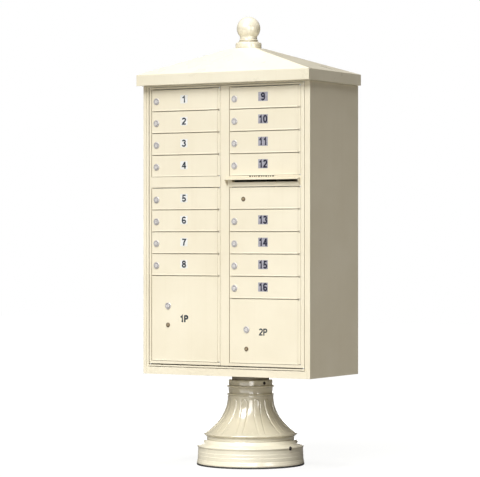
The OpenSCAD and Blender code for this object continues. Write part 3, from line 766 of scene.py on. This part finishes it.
def pedestal_cover():
    """The cover's collar, and its bell with twelve ribs."""
    inner = [(86.0, 290.0), (86.0, 337.0), (76.6, 341.0)]
    top = [(76.6, 347.0), (79.0, 347.3), (86.0, 346.4)]
    collar = arc((87.6, 342.6), 2.4, 75, 0, 4) + [(90.0, 326.0)]
    collar += arc((91.7, 320.0), 4.4, 110, -110, 14) + [(89.7, 312.0), (89.7, 292.5)]
    collar += arc((91.5, 287.0), 4.4, 110, -80, 14) + [(93.2, 279.5)]
    bell = [BELL_HIGH - (BELL_HIGH - BELL_LOW) * (i / BELL_RINGS) for i in range(BELL_RINGS + 1)]
    rim = arc((RIM_R - 3.0, 126.0), 3.0, 0, -80, 5) + [(182.5, 118.2)]
    under = [(bell_radius(z) - 8.0, z - 1.0) for z in (130, 140, 155, 175, 205, 240, 272)]
    verts = []
    for i in range(BELL_SEGMENTS):
        angle = 360.0 * i / BELL_SEGMENTS
        c, s = math.cos(math.radians(angle)), math.sin(math.radians(angle))
        skirt = [(bell_radius(z) - BELL_UNDER + relief(angle, z), z) for z in bell]
        points = top + collar + skirt + rim + under + inner
        verts += [(r * c * MM, r * s * MM, z * MM) for r, z in points]
    count = len(verts) // BELL_SEGMENTS
    faces = []
    for i in range(BELL_SEGMENTS):
        j = (i + 1) % BELL_SEGMENTS
        for k in range(count):
            m = (k + 1) % count
            faces.append((i * count + k, i * count + m, j * count + m, j * count + k))
    mesh = mesh_from("cover_bell", verts, faces, BELL_SHARP)
    bm = bmesh.new()
    bm.from_mesh(mesh)
    face_outwards(bm, mesh, BELL_SHARP)
    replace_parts(new_object("cover_bell", mesh, "cabinet", "cream_bell"), "pedestal_cover")


def base_ring():
    """The stepped drum that the bell sits on, with a flared foot on a rubber seal."""
    seal_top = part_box("base_gasket")[1].z / MM
    foot = seal_top + 0.2
    outline = [(210.5, foot), (217.6, foot)] + arc((217.1, foot + 1.5), 1.5, -70, 0, 4)
    outline += [(218.6, foot + 6.5), (217.8, foot + 8.5), (216.2, 21.0), (215.9, 24.5), (215.3, 25.5)]
    outline += [(215.3, 40.5), (214.5, 41.8), (214.5, 55.0), (213.8, 56.2), (213.8, 67.0)]
    outline += arc((217.0, 69.8), 3.1, 200, 115, 5) + arc((215.2, 77.5), 2.6, -60, 70, 8)
    outline += [(212.0, 83.0), (203.0, 87.5), (194.0, 91.0)]
    outline += arc((184.0, 97.0), 6.0, 60, 170, 7) + [(178.0, 104.0), (178.0, 117.7)]
    outline += [(174.0, 117.7), (174.0, 104.0)]
    outline += [(180.0, 92.0), (205.0, 80.0), (210.5, 70.0)]
    mesh = lathe("cover_drum", in_metres(outline), segments=192)
    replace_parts(new_object("cover_drum", mesh, "cabinet", "cream_cast"), "cover_base_ring")
    seal = [(206, 0), (218.4, 0), (219.4, 1.2)]
    seal += [(219.4, seal_top - 1.2), (218.4, seal_top), (206, seal_top)]
    mesh = lathe("base_seal", in_metres(seal), segments=144)
    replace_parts(new_object("base_seal", mesh, "cabinet", "gasket_rubber"), "base_gasket")


def cover_screw(name, radius, angle, z, size):
    """A dark pan-head screw that stands out of the cover at an angle and a height."""
    out = Vector((math.cos(math.radians(angle)), math.sin(math.radians(angle)), 0.0))
    outline = [(0.0, 1.9), (1.6, 1.85), (3.0, 1.4), (3.9, 0.6), (4.1, -0.6), (0.0, -0.6)]
    mesh = lathe(name, [(r * size * MM, h * size * MM) for r, h in outline], segments=24)
    spin = out.to_track_quat("Z", "Y").to_matrix().to_4x4()
    mesh.transform(Matrix.Translation(out * radius * MM + Vector((0, 0, z * MM))) @ spin)
    new_object(name, mesh, "cabinet", "dark_screw")


# The cover's pairs of screws: name, distance from the axis, first angle, height, and size
COVER_SCREWS = (
    ("collar_screw", 90.0, -22.0, 334.0, 1.6),
    ("drum_screw", 217.4, -12.5, 77.0, 1.9),
)


def cover_screws():
    for index in range(2):
        for name, radius, angle, z, size in COVER_SCREWS:
            cover_screw(f"{name}_{index + 1}", radius, angle + 180 * index, z, size)


# ---------------------------------------------------------------- camera, light and floor

EYE = (4.699, -8.118, 0.9195)
EYE_TURN = 30.328
LENS, SENSOR_WIDTH = 172.52, 36.0
SEEN_TO = 100.0


def camera():
    """A level camera in front of the right corner."""
    data = bpy.data.cameras.new("camera")
    data.lens = LENS
    data.sensor_width = SENSOR_WIDTH
    data.clip_end = SEEN_TO
    eye = bpy.data.objects.new("camera", data)
    eye.location = EYE
    eye.rotation_euler = (math.radians(90.0), 0.0, math.radians(EYE_TURN))
    bpy.context.scene.collection.objects.link(eye)
    bpy.context.scene.camera = eye


def soft_box(name, azimuth, elevation, distance, size, power, aim):
    """A rectangular lamp that looks at a point of the object from one side."""
    data = bpy.data.lights.new(name, "AREA")
    data.shape = "RECTANGLE"
    data.size, data.size_y = size
    data.energy = power
    a, e = math.radians(azimuth), math.radians(elevation)
    out = Vector((math.cos(a) * math.cos(e), math.sin(a) * math.cos(e), math.sin(e)))
    lamp = bpy.data.objects.new(name, data)
    lamp.location = Vector(aim) + out * distance
    lamp.rotation_euler = out.to_track_quat("Z", "Y").to_euler()
    bpy.context.scene.collection.objects.link(lamp)
    return lamp


def sun(name, energy, spread):
    """A sun lamp straight overhead, spread over some degrees of sky."""
    data = bpy.data.lights.new(name, "SUN")
    data.energy = energy
    data.angle = math.radians(spread)
    lamp = bpy.data.objects.new(name, data)
    bpy.context.scene.collection.objects.link(lamp)
    return lamp


# Where the key light comes from
KEY_FROM = (0.08, -0.66, 0.74)
# Lamps that only show as reflections: name, azimuth, elevation, width and height, and power
GLOSS_BOXES = (
    ("camera_window", -56.0, 22.0, (1.1, 2.2), 60.0),
    ("right_window", -19.0, 22.0, (0.9, 1.8), 40.0),
    ("key_window", -94.0, 47.0, (1.3, 1.4), 45.0),
)
GLOSS_DISTANCE = 3.2
GLOSS_AIM = (0.0, 0.0, 0.25)
SKY_TINT = (1.0, 0.91, 0.83, 1.0)
SKY_STRENGTH = 0.13


def lights():
    """A wide key light, a narrow one from above, soft lamps in front and behind, and reflections."""
    key = sun("key", 3.4, 40.0)
    key.rotation_euler = Vector(KEY_FROM).to_track_quat("Z", "Y").to_euler()
    sun("overhead", 1.8, 12.0)
    soft_box("front_fill", -92.0, 3.0, 3.2, (3.0, 0.7), 20.0, (0.0, 0.0, 0.05))
    soft_box("back_fill", 122.0, -3.0, 3.6, (2.0, 1.0), 26.0, (0.0, 0.2, 0.75))
    for name, azimuth, elevation, size, power in GLOSS_BOXES:
        window = soft_box(name, azimuth, elevation, GLOSS_DISTANCE, size, power, GLOSS_AIM)
        window.visible_diffuse = False


def sky():
    """A weak warm sky that shows white to the camera."""
    world = bpy.data.worlds.new("studio")
    bpy.context.scene.world = world
    world.use_nodes = True
    nodes, links = world.node_tree.nodes, world.node_tree.links
    soft = nodes["Background"]
    soft.inputs["Color"].default_value = SKY_TINT
    soft.inputs["Strength"].default_value = SKY_STRENGTH
    white = nodes.new("ShaderNodeBackground")
    white.inputs["Color"].default_value = (1.0, 1.0, 1.0, 1.0)
    pick = nodes.new("ShaderNodeMixShader")
    links.new(nodes.new("ShaderNodeLightPath").outputs["Is Camera Ray"], pick.inputs[0])
    links.new(soft.outputs[0], pick.inputs[1])
    links.new(white.outputs[0], pick.inputs[2])
    links.new(pick.outputs[0], nodes["World Output"].inputs["Surface"])


FLOOR_HALF = 14.0
# How much of the floor that the camera sees is plain white glow
FLOOR_GLOW = 0.9


def floor():
    """A pale floor that shows white, and bounces only a little light on the object."""
    half = FLOOR_HALF
    verts = [(-half, -half, 0.0), (half, -half, 0.0), (half, half, 0.0), (-half, half, 0.0)]
    mesh = bpy.data.meshes.new("floor")
    mesh.from_pydata(verts, [], [(0, 1, 2, 3)])
    plane = bpy.data.objects.new("floor", mesh)
    bpy.context.scene.collection.objects.link(plane)
    s = Shader("floor_paper", 0.9)
    path = s.put("ShaderNodeLightPath")
    tone = s.mix(s.spread(s.noise(1.5, 3.0), 0.3, 0.7), (0.97, 0.97, 0.965), (0.985, 0.985, 0.98))
    s.colour(s.mix(path.outputs["Is Camera Ray"], (0.22, 0.21, 0.19), tone))
    glow = s.put("ShaderNodeEmission")
    glow.inputs["Color"].default_value = (1.0, 1.0, 0.99, 1.0)
    shown = s.put("ShaderNodeMixShader")
    s.join(s.spread(path.outputs["Is Camera Ray"], 0.0, 1.0, 0.0, FLOOR_GLOW), shown.inputs[0])
    s.join(s.bsdf.outputs[0], shown.inputs[1])
    s.join(glow.outputs[0], shown.inputs[2])
    s.join(shown.outputs[0], s.nodes["Material Output"].inputs["Surface"])
    mesh.materials.append(s.material)


finish_cad_nodes()
dress_doors()
hems()
dashes()
finial()
pedestal_cover()
base_ring()
cover_screws()
camera()
lights()
sky()
floor()
bpy.context.scene.view_settings.view_transform = "Standard"
